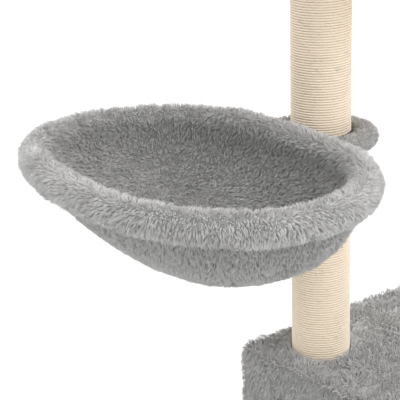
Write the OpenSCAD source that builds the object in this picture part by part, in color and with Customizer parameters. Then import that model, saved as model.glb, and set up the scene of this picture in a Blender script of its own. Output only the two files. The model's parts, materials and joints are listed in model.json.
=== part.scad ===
// Cat tree: a plush-covered cabin on a base board, a sisal post in two lengths, an oval plush
// bowl that swivels about the joint between them, and a perch on top.
// Millimetres, +Z up. The origin is the middle of the underside. The cabin's door faces -Y.

/* [Base] */
// Width of the base board, along X
base_w = 600; // [520:1:700]
// Depth of the base board, along Y
base_d = 400; // [380:1:500]
// Thickness of the base, roof and perch boards
board_t = 15; // [12:1:18]

/* [Cabin] */
// Outer width of the cabin's walls, along X
cabin_w = 400; // [360:1:400]
// Outer depth of the cabin's walls, along Y
cabin_d = 300; // [260:1:300]
// Height of the cabin's walls
cabin_h = 290; // [250:1:330]
// Thickness of the cabin's walls
wall_t = 12; // [9:1:15]
// Diameter of the round door
door_d = 170; // [140:1:190]
// Distance of the cabin from the base board's right edge
cabin_in_x = 10; // [10:1:20]
// Distance of the cabin from the base board's front edge
cabin_in_y = 20; // [20:1:50]

/* [Plush] */
// Thickness of the outside plush, from the board to the middle of its pile
pile_t = 8; // [5:0.5:10]
// Thickness of the plush that lines the cabin
lining_t = 4; // [2:0.5:6]
// Thickness of the hem stapled under a board
hem_t = 2; // [1.5:0.5:3]
// Width of the hem stapled under a board
hem_w = 30; // [20:1:40]

/* [Posts] */
// Outer diameter of the posts over the rope
post_d = 70; // [66:1:76]
// Diameter of the sisal rope
rope_d = 3; // [2:0.5:4]
// Wall of the cardboard tubes
tube_wall = 5; // [4:0.5:6]
// Distance from the post's axis to the roof board's left edge
post_in_x = 59; // [56:1:80]
// Distance from the post's axis to the roof board's back edge
post_in_y = 74; // [60:1:90]
// Height of the bowl's bracket above the roof board
bracket_h = 278; // [240:1:320]
// Length of the upper post
upper_h = 300; // [250:1:350]

/* [Bowl] */
// Mean radius of the steel rim, from its middle to the middle of the rod
rim_r = 173.4; // [165:0.1:175]
// How much the oval rim is longer along Y and narrower along X than its mean
rim_oval = 25.9; // [15:0.1:28]
// How much blunter one end of the rim is than the other
rim_egg = 4.5; // [0:0.5:6]
// Distance of the rim's middle from the post's axis, along X
reach_x = 213; // [212:0.5:220]
// Distance of the rim's middle from the post's axis, along Y
reach_y = 34; // [30:0.5:38]
// Height of the rim's middle above the bracket plate
rim_lift = 15.5; // [14:0.5:18]
// How far the rim falls for each millimetre towards the post
rim_fall = 0.024; // [0:0.001:0.03]
// How far the rim rises for each millimetre towards the back
rim_rise = 0.013; // [0:0.001:0.02]
// Diameter of the rim's steel rod
rod_d = 8; // [6:0.5:10]
// Thickness of the padded roll round the rim
roll_d = 32; // [28:1:34]
// Depth of the bowl below the rim
bowl_depth = 112; // [90:1:125]
// Thickness of each of the bowl's two layers
layer_t = 6; // [4:0.5:7]
// How far the deepest point lies from the middle, towards the post
belly_x = 25; // [0:1:30]
// How far the deepest point lies from the middle, towards the door's side
belly_y = 7; // [0:1:15]

/* [Collar] */
// Radius of the hoop round the post, to the middle of its rod
hoop_r = 63; // [60:0.5:66]
// Diameter of the hoop's rod
hoop_rod_d = 6; // [5:0.5:6]
// Thickness of the plush collar round the hoop
collar_d = 18; // [14:1:20]
// How far the hoop's middle lies from the post's axis, towards the bowl
hoop_shift = 6; // [4:0.5:7]
// Gap between the collar and the post
collar_gap = 4; // [3:0.5:8]

/* [Perch] */
// Width of the perch board, along X
perch_w = 350; // [300:1:400]
// Depth of the perch board, along Y
perch_d = 300; // [260:1:360]
// Distance of the post's axis from the perch board's left edge
perch_in_x = 85; // [60:1:130]
// Distance of the post's axis from the perch board's back edge
perch_in_y = 75; // [60:1:120]

/* [Fixings] */
// Diameter of the bolts and of the stud
bolt_d = 8; // [8:1:10]
// Diameter of the wood screws
screw_d = 4; // [3.5:0.5:5]
// Length of the wood screws
screw_l = 45; // [40:1:50]

/* [Hidden] */

$fn = 96;
gap = 0.1;              // between pieces that are glued, screwed or stapled together
turn_gap = 0.06;        // radial clearance of the bracket on the stud
slack = 0.3;            // round a part that passes through another without a fit
eps = 0.01;

plush = [0.67, 0.67, 0.65];
plush_dark = [0.58, 0.58, 0.56];
sisal = [0.91, 0.84, 0.72];
chipboard = [0.72, 0.58, 0.40];
cardboard = [0.66, 0.52, 0.36];
pine = [0.80, 0.66, 0.45];
steel = [0.62, 0.63, 0.65];
black = [0.13, 0.13, 0.14];
nylon = [0.93, 0.93, 0.90];

// Heights
floor_z = hem_t + board_t;                  // top of the base board
roof_z = floor_z + cabin_h;                 // underside of the roof board
post_z = roof_z + board_t;                  // foot of the lower post
bracket_z = post_z + bracket_h;             // middle of the bracket plate
plate_t = 3;
washer_t = 1.5;
washer_r = 28;
disc_r = 30;                                // of the bracket's plate between the posts
tongue_w = 30;
stack = plate_t / 2 + gap + washer_t + gap; // from the middle of the plate to a post's end
lower_h = bracket_h - stack;
upper_z = bracket_z + stack;
perch_z = upper_z + upper_h;                // underside of the perch board
rim_z = bracket_z + rim_lift;

// Places
cabin_x = base_w / 2 - cabin_in_x - cabin_w / 2;    // middle of the cabin
cabin_y = -(base_d / 2 - cabin_in_y - cabin_d / 2);
post_x = cabin_x - cabin_w / 2 + post_in_x;
post_y = cabin_y + cabin_d / 2 - post_in_y;
bowl_x = post_x - reach_x;
bowl_y = post_y - reach_y;
bowl_turn = atan(reach_y / reach_x);        // of the bracket, so that its tongue points at the rim
perch_x = post_x + perch_w / 2 - perch_in_x;
perch_y = post_y - perch_d / 2 + perch_in_y;
door_z = floor_z + cabin_h / 2;
front_y = cabin_y - cabin_d / 2;

// Posts
post_r = post_d / 2;
tube_r = post_r - rope_d;
bore_r = tube_r - tube_wall;
plug_h = 25;
insert_r = 5.5;
insert_h = 18;
flange_r = 11;
flange_t = 1.5;
bolt_r = bolt_d / 2;
hex_r = 7.5;
head_h = 5.5;
big_washer_r = 15;
big_washer_t = 2;
roof_bolt_l = 40;
perch_bolt_l = 25;
sink_h = head_h + 3;                        // depth of the counterbore in the perch board
stud_l = 2 * (stack + insert_h - 1);

// Bowl
roll_r = roll_d / 2;
rod_r = rod_d / 2;
rim_steps = 96;
bowl_steps = 72;
bowl_rings = 11;
shell_in = 0.0335;                          // share by which the shell lies inside the rim
shell_gap = 4;                              // and by this much more
collar_arc = 134;                           // the collar's ends, from the side away from the bowl
lug_w = 24;
piping_r = 6;                               // of the door's trim

// Radius of the rim at angle a round its own middle, where 0 points along +X.
function rim_at(a) = rim_r - rim_oval * cos(2 * a) - rim_egg * sin(3 * a);

// A point at angle a and distance q from the rim's middle, in the plane of the rim.
function rim_point(a, q, up = 0) = [
    bowl_x + q * cos(a),
    bowl_y + q * sin(a),
    rim_z + up - rim_fall * q * cos(a) + rim_rise * q * sin(a)
];

// A point on a layer of the bowl: s is 0 at the rim and 1 at the deepest point.
function bowl_point(a, s, inset) =
    let (k = cos(90 * s), g = sin(90 * s))
    let (q = (rim_at(a) * (1 - shell_in) - shell_gap - inset) * k)
    rim_point(a, q, (inset - bowl_depth) * g) + [belly_x * g, -belly_y * g, 0];

// Where a layer starts, just under the padded roll.
bowl_top = asin((roll_r + 1) / bowl_depth) / 90;

// Distance of the rim rod's near side from the post's axis, where the bracket holds it.
rim_end = norm([reach_x, reach_y]) - rim_at(bowl_turn) - rod_r;
hoop_end = hoop_r - hoop_rod_d / 2;

module at_post(z = 0) {
    translate([post_x, post_y, z]) children();
}

module box_at(x, y, z, w, d, h) {
    translate([x - w / 2, y - d / 2, z]) cube([w, d, h]);
}

// A tube of radius r that follows the oval rim.
module rim_tube(r, sides) {
    points = [
        for (i = [0:rim_steps - 1], j = [0:sides - 1])
            let (a = 360 * i / rim_steps, b = 360 * j / sides)
            rim_point(a, rim_at(a) + r * cos(b), r * sin(b))
    ];
    faces = [
        for (i = [0:rim_steps - 1], j = [0:sides - 1])
            let (n = (i + 1) % rim_steps, m = (j + 1) % sides)
            [i * sides + j, i * sides + m, n * sides + m, n * sides + j]
    ];
    polyhedron(points, faces, convexity = 6);
}

// One layer of the bowl, between two insets from its outside.
module bowl_layer(outside, inside) {
    function ring_s(i) = bowl_top + (1 - bowl_top) * i / bowl_rings;
    n = bowl_steps;
    inner = n * bowl_rings + 1;
    points = [
        for (inset = [outside, inside])
            each [
                for (i = [0:bowl_rings - 1], j = [0:n - 1])
                    bowl_point(360 * j / n, ring_s(i), inset),
                bowl_point(0, 1, inset)
            ]
    ];
    faces = [
        for (i = [0:bowl_rings - 2], j = [0:n - 1])
            let (a = i * n + j, b = i * n + (j + 1) % n)
            each [[a, a + n, b + n, b], [inner + a, inner + b, inner + b + n, inner + a + n]],
        for (j = [0:n - 1])
            let (last = n * (bowl_rings - 1), a = last + j, b = last + (j + 1) % n)
            each [[a, last + n, b], [inner + a, inner + b, inner + last + n]],
        for (j = [0:n - 1])
            let (m = (j + 1) % n)
            [j, m, inner + m, inner + j]
    ];
    polyhedron(points, faces, convexity = 6);
}

// A countersunk wood screw whose head is flush with z = 0 and whose point is up.
module wood_screw() {
    cylinder(r1 = screw_d, r2 = screw_d / 2, h = screw_d / 2);
    cylinder(r = screw_d / 2, h = screw_l - screw_d);
    translate([0, 0, screw_l - screw_d]) cylinder(r1 = screw_d / 2, r2 = 0.4, h = screw_d);
}

// The hole that such a screw leaves.
module screw_hole() {
    translate([0, 0, -eps]) cylinder(r1 = screw_d + gap + eps, r2 = screw_d / 2 + gap, h = screw_d / 2);
    cylinder(r = screw_d / 2 + gap, h = screw_l + 1);
}

// A screw at the middle of each stretch of the cabin's walls.
module at_cabin_screws(z) {
    x_side = cabin_w / 2 - wall_t / 2;
    y_side = cabin_d / 2 - wall_t / 2;
    for (s = [-1, 1], t = [-1, 1]) {
        translate([cabin_x + s * x_side, cabin_y + t * cabin_d / 4, z]) children();
        translate([cabin_x + t * cabin_w / 4, cabin_y + s * y_side, z]) children();
    }
}

module base_screw_holes() {
    at_cabin_screws(hem_t) screw_hole();
}

module roof_screw_holes() {
    at_cabin_screws(post_z) mirror([0, 0, 1]) screw_hole();
}

// Plush wrapped round a board: a top, four sides and a hem underneath.
module board_cover(x, y, z, w, d) {
    difference() {
        box_at(x, y, z - hem_t, w + 2 * pile_t, d + 2 * pile_t, hem_t + board_t + pile_t);
        box_at(x, y, z - gap, w + 2 * gap, d + 2 * gap, board_t + 2 * gap);
        box_at(x, y, z - hem_t - 1, w - 2 * hem_w, d - 2 * hem_w, hem_t + 2);
    }
}

module base_board() {
    color(chipboard)
    difference() {
        box_at(0, 0, hem_t, base_w, base_d, board_t);
        base_screw_holes();
    }
}

module base_cover() {
    foot = pile_t + gap;
    color(plush)
    difference() {
        board_cover(0, 0, hem_t, base_w, base_d);
        difference() {
            box_at(cabin_x, cabin_y, floor_z, cabin_w + 2 * foot, cabin_d + 2 * foot, pile_t + 1);
            box_at(cabin_x, cabin_y, floor_z - 1, cabin_w - 2 * wall_t - 2 * lining_t - 2 * gap,
                cabin_d - 2 * wall_t - 2 * lining_t - 2 * gap, pile_t + 3);
        }
    }
}

module base_screws() {
    color(steel) at_cabin_screws(hem_t) wood_screw();
}

module side_wall(side) {
    color(chipboard)
    difference() {
        box_at(cabin_x + side * (cabin_w - wall_t) / 2, cabin_y, floor_z, wall_t, cabin_d, cabin_h);
        base_screw_holes();
        roof_screw_holes();
    }
}

module cross_wall(side) {
    difference() {
        box_at(cabin_x, cabin_y + side * (cabin_d - wall_t) / 2, floor_z,
            cabin_w - 2 * wall_t - 2 * gap, wall_t, cabin_h);
        base_screw_holes();
        roof_screw_holes();
    }
}

// The round door's hole, of radius r, through everything at the front.
module door_hole(r) {
    translate([cabin_x, front_y + wall_t + lining_t + 5, door_z])
        rotate([90, 0, 0]) cylinder(r = r, h = wall_t + lining_t + pile_t + 15);
}

module cabin_left() side_wall(-1);

module cabin_right() side_wall(1);

module cabin_back() color(chipboard) cross_wall(1);

module cabin_front() {
    color(chipboard)
    difference() {
        cross_wall(-1);
        door_hole(door_d / 2);
    }
}

module cabin_cover() {
    color(plush)
    difference() {
        box_at(cabin_x, cabin_y, floor_z, cabin_w + 2 * pile_t, cabin_d + 2 * pile_t,
            cabin_h - hem_t - gap);
        box_at(cabin_x, cabin_y, floor_z - 1, cabin_w + 2 * gap, cabin_d + 2 * gap, cabin_h + 2);
        door_hole(door_d / 2 + 2);
    }
}

module cabin_lining() {
    w = cabin_w - 2 * wall_t - 2 * gap;
    d = cabin_d - 2 * wall_t - 2 * gap;
    color(plush_dark)
    difference() {
        box_at(cabin_x, cabin_y, floor_z, w, d, cabin_h - hem_t - gap);
        box_at(cabin_x, cabin_y, floor_z - 1, w - 2 * lining_t, d - 2 * lining_t, cabin_h + 2);
        door_hole(door_d / 2 + 2);
    }
}

// A plush piping that closes the edge of the door.
module door_trim() {
    color(plush)
    translate([cabin_x, front_y - pile_t - gap, door_z])
        rotate([90, 0, 0])
            rotate_extrude() translate([door_d / 2 + piping_r, 0]) intersection() {
                circle(r = piping_r);
                translate([-piping_r, 0]) square([2 * piping_r, piping_r]);
            }
}

module roof_board() {
    color(chipboard)
    difference() {
        box_at(cabin_x, cabin_y, roof_z, cabin_w, cabin_d, board_t);
        at_post(roof_z - 1) cylinder(r = bolt_r + gap, h = board_t + 2);
        roof_screw_holes();
    }
}

// The roof's plush, cut away round the foot of the post.
module roof_cover() {
    color(plush)
    difference() {
        board_cover(cabin_x, cabin_y, roof_z, cabin_w, cabin_d);
        box_at(cabin_x, cabin_y, roof_z - hem_t - 1, cabin_w + 2 * gap, cabin_d + 2 * gap, hem_t + 1.5);
        at_post(post_z - 1) cylinder(r = post_r + slack, h = pile_t + 2);
    }
}

module roof_screws() {
    color(steel) at_cabin_screws(post_z) mirror([0, 0, 1]) wood_screw();
}

// A flat washer under a bolt's head.
module big_washer() {
    color(steel)
    difference() {
        cylinder(r = big_washer_r, h = big_washer_t);
        translate([0, 0, -1]) cylinder(r = bolt_r + slack, h = big_washer_t + 2);
    }
}

// A hexagon bolt whose head sits below z = 0 and whose shank points up.
module hex_bolt(length) {
    color(steel) {
        translate([0, 0, -head_h]) cylinder(r = hex_r, h = head_h, $fn = 6);
        cylinder(r = bolt_r, h = length);
    }
}

module roof_washer() {
    at_post(roof_z - big_washer_t - gap) big_washer();
}

module roof_bolt() {
    at_post(roof_z - big_washer_t - 2 * gap) hex_bolt(roof_bolt_l);
}

module post_tube(z, length) {
    color(cardboard)
    at_post(z) difference() {
        cylinder(r = tube_r, h = length);
        translate([0, 0, -1]) cylinder(r = bore_r, h = length + 2);
    }
}

// The wound rope, as a plain sleeve.
module post_rope(z, length) {
    color(sisal)
    at_post(z) difference() {
        cylinder(r = post_r, h = length);
        translate([0, 0, -1]) cylinder(r = tube_r + gap, h = length + 2);
    }
}

// A wooden plug with its flanged face at z = 0.
module end_plug() {
    color(pine)
    difference() {
        cylinder(r = bore_r - gap, h = plug_h);
        translate([0, 0, -1]) cylinder(r = insert_r + gap, h = plug_h + 2);
        translate([0, 0, -1]) cylinder(r = flange_r + gap, h = 1 + flange_t + gap);
    }
}

// A flanged threaded insert, its thread drawn as a plain bore.
module insert() {
    color(steel)
    difference() {
        union() {
            cylinder(r = flange_r, h = flange_t);
            cylinder(r = insert_r, h = insert_h);
        }
        translate([0, 0, -1]) cylinder(r = bolt_r + 0.05, h = insert_h + 2);
    }
}

// Puts a child at both ends of a post, facing inwards.
module both_ends(z, length) {
    at_post(z) children();
    at_post(z + length) mirror([0, 0, 1]) children();
}

module lower_tube() post_tube(post_z, lower_h);

module lower_rope() post_rope(post_z, lower_h);

module lower_plugs() both_ends(post_z, lower_h) end_plug();

module lower_inserts() both_ends(post_z, lower_h) insert();

module upper_tube() post_tube(upper_z, upper_h);

module upper_rope() post_rope(upper_z, upper_h);

module upper_plugs() both_ends(upper_z, upper_h) end_plug();

module upper_inserts() both_ends(upper_z, upper_h) insert();

module post_stud() {
    color(steel) at_post(bracket_z - stud_l / 2) cylinder(r = bolt_r, h = stud_l);
}

// Two nylon washers, one on each side of the bracket plate.
module swivel_washers() {
    color(nylon)
    for (z = [bracket_z - plate_t / 2 - gap - washer_t, bracket_z + plate_t / 2 + gap])
        at_post(z) difference() {
            cylinder(r = washer_r, h = washer_t);
            translate([0, 0, -1]) cylinder(r = bolt_r + slack, h = washer_t + 2);
        }
}

module rim_ring() {
    color(black) rim_tube(rod_r, 12);
}

// Puts a child in the bracket's own directions: its -X points at the rim.
module at_bracket(z = 0) {
    at_post(bracket_z + z) rotate([0, 0, bowl_turn]) children();
}

// The bracket, grown all round by grow: a disc between the posts, a tongue to each side of the
// hoop, and a lug that rises to the rim.
module bracket_shape(grow) {
    translate([0, 0, -plate_t / 2 - grow]) linear_extrude(plate_t + 2 * grow) {
        circle(r = disc_r + grow);
        intersection() {
            translate([-hoop_shift, 0]) circle(r = hoop_end - gap + grow);
            square([3 * hoop_r, tongue_w + 2 * grow], center = true);
        }
    }
    translate([-rim_end + slack - grow, -lug_w / 2 - grow, 0])
        cube([plate_t + 2 * grow, lug_w + 2 * grow, rim_lift + grow]);
}

module bracket_plate() {
    color(black)
    at_bracket() difference() {
        bracket_shape(0);
        translate([0, 0, -plate_t]) cylinder(r = bolt_r + turn_gap, h = 2 * plate_t);
    }
}

// Sweeps an outline round the hoop, whose middle lies a little towards the bowl, from -arc to arc.
module along_hoop(arc) {
    at_bracket() translate([-hoop_shift, 0, 0])
        rotate([0, 0, -arc]) rotate_extrude(angle = 2 * arc) children();
}

// A hoop of round section.
module hoop(r) {
    along_hoop(180) translate([hoop_r, 0]) circle(r = r);
}

module collar_hoop() {
    color(black) hoop(hoop_rod_d / 2);
}

module rim_roll() {
    color(plush)
    difference() {
        rim_tube(roll_r, 20);
        rim_tube(rod_r + slack, 12);
        hoop(hoop_rod_d / 2 + slack);
        at_bracket() bracket_shape(slack);
    }
}

module bowl_outer() {
    color(plush) bowl_layer(0, layer_t);
}

module bowl_lining() {
    color(plush_dark) bowl_layer(layer_t + gap, 2 * layer_t);
}

// The padded collar, a flat pad with a round outer edge that reaches in to near the post.
module collar_cover() {
    collar_r = collar_d / 2;
    pad_in = hoop_r - collar_r - hoop_shift;    // from inside the post to the hoop
    color(plush)
    difference() {
        along_hoop(collar_arc) {
            translate([hoop_r, 0]) circle(r = collar_r);
            translate([hoop_r - pad_in, -collar_r]) square([pad_in, collar_d]);
        }
        hoop(hoop_rod_d / 2 + slack);
        at_bracket() bracket_shape(slack);
        at_post(bracket_z - collar_d) cylinder(r = post_r + collar_gap, h = 2 * collar_d);
    }
}

module perch_board() {
    color(chipboard)
    difference() {
        box_at(perch_x, perch_y, perch_z, perch_w, perch_d, board_t);
        at_post(perch_z - 1) cylinder(r = bolt_r + gap, h = board_t + 2);
        at_post(perch_z + board_t - sink_h) cylinder(r = big_washer_r + 1, h = sink_h + 1);
    }
}

// The perch's plush, open below where the post meets the board.
module perch_cover() {
    color(plush)
    difference() {
        board_cover(perch_x, perch_y, perch_z, perch_w, perch_d);
        at_post(perch_z - hem_t - 1) cylinder(r = post_r + hem_t, h = hem_t + 1 + eps);
    }
}

// The washer and the bolt at the bottom of the perch board's counterbore.
module perch_washer() {
    at_post(perch_z + board_t - sink_h + gap) big_washer();
}

module perch_bolt() {
    at_post(perch_z + board_t - sink_h + big_washer_t + 2 * gap)
        mirror([0, 0, 1]) hex_bolt(perch_bolt_l);
}

base_board();
base_cover();
base_screws();
cabin_left();
cabin_right();
cabin_back();
cabin_front();
cabin_cover();
cabin_lining();
door_trim();
roof_board();
roof_cover();
roof_screws();
roof_washer();
roof_bolt();
lower_tube();
lower_rope();
lower_plugs();
lower_inserts();
upper_tube();
upper_rope();
upper_plugs();
upper_inserts();
post_stud();
swivel_washers();
rim_ring();
bracket_plate();
collar_hoop();
rim_roll();
bowl_outer();
bowl_lining();
collar_cover();
perch_board();
perch_cover();
perch_washer();
perch_bolt();
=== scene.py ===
"""The looks of the cat tree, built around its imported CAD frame.

Everything is in metres in the row's frame: +Z up, the cabin's door faces -Y and the bowl is on the
-X side. Each plush part is a skin, a thin closed sheet or a padded tube, with a pile of real tapered
strands rooted in it. The sisal is a real winding. The boards and the steel keep their CAD shapes.
"""
import itertools
import json
import math

import bpy
import numpy as np
from mathutils import Matrix, Vector
from mathutils.kdtree import KDTree


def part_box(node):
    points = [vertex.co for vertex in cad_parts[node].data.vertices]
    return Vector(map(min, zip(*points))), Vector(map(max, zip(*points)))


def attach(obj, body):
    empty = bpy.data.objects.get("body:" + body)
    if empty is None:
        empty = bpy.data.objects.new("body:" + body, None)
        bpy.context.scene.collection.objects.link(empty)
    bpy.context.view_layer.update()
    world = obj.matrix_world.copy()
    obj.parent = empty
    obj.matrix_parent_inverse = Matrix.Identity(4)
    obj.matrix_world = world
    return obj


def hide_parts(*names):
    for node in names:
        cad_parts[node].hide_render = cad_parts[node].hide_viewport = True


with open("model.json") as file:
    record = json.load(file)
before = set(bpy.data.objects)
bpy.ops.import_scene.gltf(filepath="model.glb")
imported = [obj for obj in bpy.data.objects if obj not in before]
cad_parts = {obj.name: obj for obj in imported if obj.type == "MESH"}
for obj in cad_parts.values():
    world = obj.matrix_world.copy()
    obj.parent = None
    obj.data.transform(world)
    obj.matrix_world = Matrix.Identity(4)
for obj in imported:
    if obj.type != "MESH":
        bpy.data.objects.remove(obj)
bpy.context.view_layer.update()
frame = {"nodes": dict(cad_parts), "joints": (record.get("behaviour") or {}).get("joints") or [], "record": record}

# ---- Sizes that the frame gives ----


def low(node):
    """The lowest corner of a CAD node's box."""
    return np.array(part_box(node)[0])


def high(node):
    """The highest corner of a CAD node's box."""
    return np.array(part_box(node)[1])


POST = (low("lower_rope") + high("lower_rope")) / 2
POST_R = float(high("lower_rope")[0] - low("lower_rope")[0]) / 2
ROPE_D = 0.003  # diameter of the sisal rope
ROPE_LAY = 0.008  # length of rope in which its strands twist once round
DOOR_R = 0.085
DOOR = np.array([(low("door_trim")[0] + high("door_trim")[0]) / 2, low("cabin_front")[1],
                 (low("door_trim")[2] + high("door_trim")[2]) / 2])

# The bowl, as the CAD model builds it
SWIVEL = np.array(frame["joints"][0]["pos_m"])
REACH = np.array([0.213, 0.034])  # from the rim's middle to the swivel
RIM_R = 0.1734  # the rim's mean radius
RIM_OVAL, RIM_EGG = 0.0259, 0.0045  # how the radius varies, twice and three times a turn
RIM_LIFT = 0.0155  # of the rim's middle over the swivel
RIM_FALL, RIM_RISE = 0.024, 0.013  # slopes of the rim's plane along X and Y
BOWL_DEPTH = 0.112
SHELL_IN, SHELL_GAP = 0.0335, 0.004  # the bowl's edge is inside the rim by this share and this gap
BELLY = np.array([0.025, -0.007])  # from the rim's middle to the deepest point
HOOP_R, HOOP_SHIFT = 0.063, 0.006
COLLAR_ARC = math.radians(134)  # of the hoop on each side of the bowl's far side
RIM_MIDDLE = np.array([SWIVEL[0] - REACH[0], SWIVEL[1] - REACH[1], SWIVEL[2] + RIM_LIFT])
BOWL_TURN = math.atan2(REACH[1], REACH[0])

# How the plush lies on it. A place round the rim is an angle, and so is a width.
PAD_OUT, PAD_IN = 0.0044, 0.0400  # the collar's padding outside its hoop, and the radius of its bore
RIM_WAVE = 0.003  # the roll rises and sinks by this, twice a turn
DIP, DIP_AT, DIP_WIDTH = 0.005, math.radians(-12), math.radians(24)  # it sinks in front of the post
BACK, BACK_AT, BACK_WIDTH = 0.0025, math.radians(42), math.radians(20)  # and rises behind it
END_OUT, END_DROP = 0.003, 0.0015  # how far the roll's far end is pulled out and down
END_AT, END_WIDTH = math.radians(165), math.radians(35)
TUCK, TUCK_AT = 0.0045, math.radians(-38)  # how far the outside is drawn in under the roll, and where
SHELL_TOP = 0.965  # where the bowl's outside starts, as a share of the way to the rim
LAP_SHARE = 0.12  # of the inside that laps over the roll
LAP_INSET = 0.0055  # of the inside where the lap starts
LAP_OUT, LAP_UP = 0.0113, 0.013  # how far the lap reaches out and up

# ---- Noise and meshes ----


def noise(points, size, seed):
    """Smooth noise from -1 to 1 at each point, whose bumps are about that size."""
    scaled = np.asarray(points) / size
    cell = np.floor(scaled).astype(np.int64)
    share = scaled - cell
    share = share * share * (3 - 2 * share)
    total = np.zeros(len(scaled))
    for corner in itertools.product((0, 1), repeat=3):
        corner = np.array(corner)
        x, y, z = (cell + corner).T
        mixed = (x * 73856093) ^ (y * 19349663) ^ (z * 83492791) ^ (seed * 668265263)
        mixed = (mixed ^ (mixed >> 13)) * 1274126177
        mixed = (mixed ^ (mixed >> 16)) & 0xFFFFFF
        weight = np.prod(np.where(corner == 1, share, 1 - share), axis=1)
        total += weight * (mixed / 0x800000 - 1)
    return total


def noise3(points, size, seed):
    """A smoothly varying vector at each point."""
    return np.stack([noise(points, size, seed + k) for k in range(3)], axis=1)


def unit(vectors):
    return vectors / np.maximum(np.linalg.norm(vectors, axis=-1, keepdims=True), 1e-12)


def make_mesh(name, points, faces, material):
    """An object from points and a list of face arrays, each array with its own number of corners."""
    mesh = bpy.data.meshes.new(name)
    corners = np.concatenate([f.ravel() for f in faces])
    sizes = np.concatenate([np.full(len(f), f.shape[1]) for f in faces])
    mesh.vertices.add(len(points))
    mesh.vertices.foreach_set("co", np.asarray(points, np.float32).ravel())
    mesh.loops.add(len(corners))
    mesh.loops.foreach_set("vertex_index", corners.astype(np.int32))
    mesh.polygons.add(len(sizes))
    mesh.polygons.foreach_set("loop_start", (np.cumsum(sizes) - sizes).astype(np.int32))
    mesh.update(calc_edges=True)
    mesh.shade_smooth()
    mesh.materials.append(material)
    obj = bpy.data.objects.new(name, mesh)
    bpy.context.scene.collection.objects.link(obj)
    return obj


def grid(along, across):
    """Both values at each point of a grid, row by row."""
    r, c = np.meshgrid(along, across, indexing="ij")
    return r.ravel(), c.ravel()


def grid_quads(rows, cols, wrap_rows=False, wrap_cols=False):
    """The quads of a grid of points that are numbered row by row."""
    r, c = grid(np.arange(rows if wrap_rows else rows - 1), np.arange(cols if wrap_cols else cols - 1))
    r_next, c_next = (r + 1) % rows, (c + 1) % cols
    return np.stack([r * cols + c, r * cols + c_next, r_next * cols + c_next, r_next * cols + c], axis=1)


class Surface:
    """A sheet of quads whose outside is the side that a pile grows on."""

    def __init__(self, points, quads):
        self.points = np.asarray(points, float)
        self.quads = quads

    def triangles(self):
        return np.concatenate([self.quads[:, [0, 1, 2]], self.quads[:, [0, 2, 3]]])

    def normals(self):
        """Smooth normals at the points."""
        a, b, c, d = (self.points[self.quads[:, k]] for k in range(4))
        face = np.cross(c - a, d - b)
        total = np.zeros_like(self.points)
        for k in range(4):
            np.add.at(total, self.quads[:, k], face)
        return unit(total)

    def lumpy(self, amount, size, seed):
        """The same sheet, pushed in and out by smooth noise."""
        push = amount * noise(self.points, size, seed)
        push += amount / 2 * noise(self.points, size / 2.3, seed + 1)
        return Surface(self.points + self.normals() * push[:, None], self.quads)

    def where(self, keeps):
        """The same sheet with only the quads whose middles pass keeps(middles)."""
        return Surface(self.points, self.quads[keeps(self.points[self.quads].mean(axis=1))])

    def compact(self):
        """The same sheet without the points that no quad uses."""
        used, quads = np.unique(self.quads, return_inverse=True)
        return Surface(self.points[used], quads.reshape(-1, 4))


def skin(name, surface, thickness):
    """A closed sheet of backing whose outer face is the surface."""
    surface = surface.compact()
    obj = make_mesh(name, surface.points, [surface.quads], BACKING)
    solid = obj.modifiers.new("thickness", "SOLIDIFY")
    solid.thickness = thickness
    solid.offset = -1
    return obj


def settle(obj, body, node=None):
    """Gives a piece its body, and puts it in place of a CAD node."""
    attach(obj, body)
    if node:
        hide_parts(node)


# ---- Pile ----

BRUSHED = unit(np.array([-0.62, -0.79, 0.0]))  # the way the pile on level faces is brushed
TUFT = 0.0055  # size of the tufts that strands cling in
FLOOR_Z = 0.0004  # no strand reaches lower than this
POST_GAP = 0.0006  # or closer to the rope than this
ROOTED = 0.001  # how deep a strand starts under its surface
BEND = math.radians(16)  # a strand's two halves lean this much less and more than all of it
SOFTNESS = 0.6  # share of a strand's shading that is its surface's
MOST_STRANDS = 19000  # in one piece, which keeps a piece under 200,000 triangles
BAKE_MAP = "OFBake"  # the UV map in which each strand has a square of its own
STRAND_POINTS = 7  # a ring of three at the root, one half way, and the tip
STRAND_ALONG = [0, 0, 0, 0.5, 0.5, 0.5, 1]
STRAND_QUADS = np.array([[0, 1, 4, 3], [1, 2, 5, 4], [2, 0, 3, 5]])
STRAND_TRIS = np.array([[3, 4, 6], [4, 5, 6], [5, 3, 6], [0, 2, 1]])
STRAND_UV = np.array([[x, y] for k in range(3)
                      for x, y in ((0, k), (0, k + 1), (0.5, k + 1), (0.5, k))]
                     + [[x, y] for k in range(3) for x, y in ((0.5, k), (0.5, k + 1), (1, k + 0.5))]
                     + [[0, 0], [0, 1], [0, 0.5]]) / [1, 3]


def brushed_down(points, normals):
    """Pile on a board: brushed one way on top, and hanging down its sides."""
    level = np.abs(normals[:, 2:3])
    return (BRUSHED * level + normals * 0.4 * (1 - level) + np.array([0, 0, -1.2]) * (1 - level)
            + np.array([0, 0, -0.3]))


def spread_roots(surface, spacing, rng):
    """Evenly spread points on a surface, with its smooth normal at each."""
    triangles = surface.triangles()
    a, b, c = (surface.points[triangles[:, k]] for k in range(3))
    area = np.linalg.norm(np.cross(b - a, c - a), axis=1) / 2
    count = int(area.sum() / spacing ** 2)
    at = (np.arange(count) + rng.random(count)) / count * area.sum()
    chosen = np.minimum(np.searchsorted(np.cumsum(area), at), len(area) - 1)
    u, v = rng.random((2, count))
    over = u + v > 1
    u[over], v[over] = 1 - u[over], 1 - v[over]
    weights = np.stack([1 - u - v, u, v], axis=1)[:, :, None]
    corners = triangles[chosen]
    normals = surface.normals()
    return (surface.points[corners] * weights).sum(axis=1), unit((normals[corners] * weights).sum(axis=1))


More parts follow.
